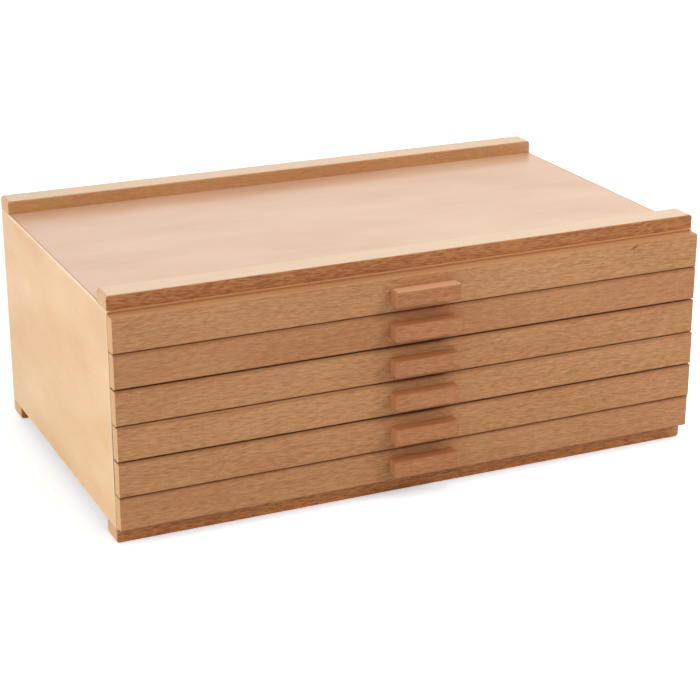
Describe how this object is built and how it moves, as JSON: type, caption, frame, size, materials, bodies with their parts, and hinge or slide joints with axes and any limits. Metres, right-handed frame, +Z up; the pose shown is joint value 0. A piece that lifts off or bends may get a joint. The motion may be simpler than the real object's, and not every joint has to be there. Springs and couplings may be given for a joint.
{
  "type": "drawer box",
  "caption": "Low wooden box with a stack of shallow full-width drawers, each with a small block handle, and a raised rail along the front and back of its top and its base.",
  "frame": {"origin": "on the floor under the middle of the whole box, handles included", "axes": "+Z up, drawers open towards -Y, +X to the right of someone facing the drawers"},
  "size_m": [0.394, 0.2472, 0.1548],
  "materials": {
    "side_ply": "satin lacquered pale plywood",
    "top_ply": "satin lacquered pale plywood",
    "inner_ply": "raw plywood",
    "rail_beech": "satin lacquered beech",
    "front_beech": "satin lacquered beech",
    "handle_beech": "satin lacquered beech",
    "drawer_beech": "raw beech",
    "runner_beech": "raw beech",
    "screw_steel": "bright zinc",
    "foam": "soft open-cell foam"
  },
  "bodies": {
    "cabinet": {"left_side_panel": "side_ply", "right_side_panel": "side_ply", "top_panel": "top_ply", "bottom_panel": "inner_ply", "back_panel": "inner_ply", "front_top_rail": "rail_beech", "rear_top_rail": "rail_beech", "front_base_rail": "rail_beech", "rear_base_rail": "rail_beech", "left_runners": "runner_beech", "right_runners": "runner_beech"},
    "drawer_1": {"drawer_1_front": "front_beech", "drawer_1_handle": "handle_beech", "drawer_1_screws": "screw_steel", "drawer_1_left_side": "drawer_beech", "drawer_1_right_side": "drawer_beech", "drawer_1_back": "drawer_beech", "drawer_1_bottom": "inner_ply", "drawer_1_foam_liner": "foam"},
    "drawer_2": {"drawer_2_front": "front_beech", "drawer_2_handle": "handle_beech", "drawer_2_screws": "screw_steel", "drawer_2_left_side": "drawer_beech", "drawer_2_right_side": "drawer_beech", "drawer_2_back": "drawer_beech", "drawer_2_bottom": "inner_ply", "drawer_2_foam_liner": "foam"},
    "drawer_3": {"drawer_3_front": "front_beech", "drawer_3_handle": "handle_beech", "drawer_3_screws": "screw_steel", "drawer_3_left_side": "drawer_beech", "drawer_3_right_side": "drawer_beech", "drawer_3_back": "drawer_beech", "drawer_3_bottom": "inner_ply", "drawer_3_foam_liner": "foam"},
    "drawer_4": {"drawer_4_front": "front_beech", "drawer_4_handle": "handle_beech", "drawer_4_screws": "screw_steel", "drawer_4_left_side": "drawer_beech", "drawer_4_right_side": "drawer_beech", "drawer_4_back": "drawer_beech", "drawer_4_bottom": "inner_ply", "drawer_4_foam_liner": "foam"},
    "drawer_5": {"drawer_5_front": "front_beech", "drawer_5_handle": "handle_beech", "drawer_5_screws": "screw_steel", "drawer_5_left_side": "drawer_beech", "drawer_5_right_side": "drawer_beech", "drawer_5_back": "drawer_beech", "drawer_5_bottom": "inner_ply", "drawer_5_foam_liner": "foam"},
    "drawer_6": {"drawer_6_front": "front_beech", "drawer_6_handle": "handle_beech", "drawer_6_screws": "screw_steel", "drawer_6_left_side": "drawer_beech", "drawer_6_right_side": "drawer_beech", "drawer_6_back": "drawer_beech", "drawer_6_bottom": "inner_ply", "drawer_6_foam_liner": "foam"}
  },
  "joints": [
    {"name": "drawer_1_slide", "type": "slide", "parent": "cabinet", "child": "drawer_1", "axis": [0, -1, 0], "range_m": [0, 0.17]},
    {"name": "drawer_2_slide", "type": "slide", "parent": "cabinet", "child": "drawer_2", "axis": [0, -1, 0], "range_m": [0, 0.17]},
    {"name": "drawer_3_slide", "type": "slide", "parent": "cabinet", "child": "drawer_3", "axis": [0, -1, 0], "range_m": [0, 0.17]},
    {"name": "drawer_4_slide", "type": "slide", "parent": "cabinet", "child": "drawer_4", "axis": [0, -1, 0], "range_m": [0, 0.17]},
    {"name": "drawer_5_slide", "type": "slide", "parent": "cabinet", "child": "drawer_5", "axis": [0, -1, 0], "range_m": [0, 0.17]},
    {"name": "drawer_6_slide", "type": "slide", "parent": "cabinet", "child": "drawer_6", "axis": [0, -1, 0], "range_m": [0, 0.17]}
  ]
}
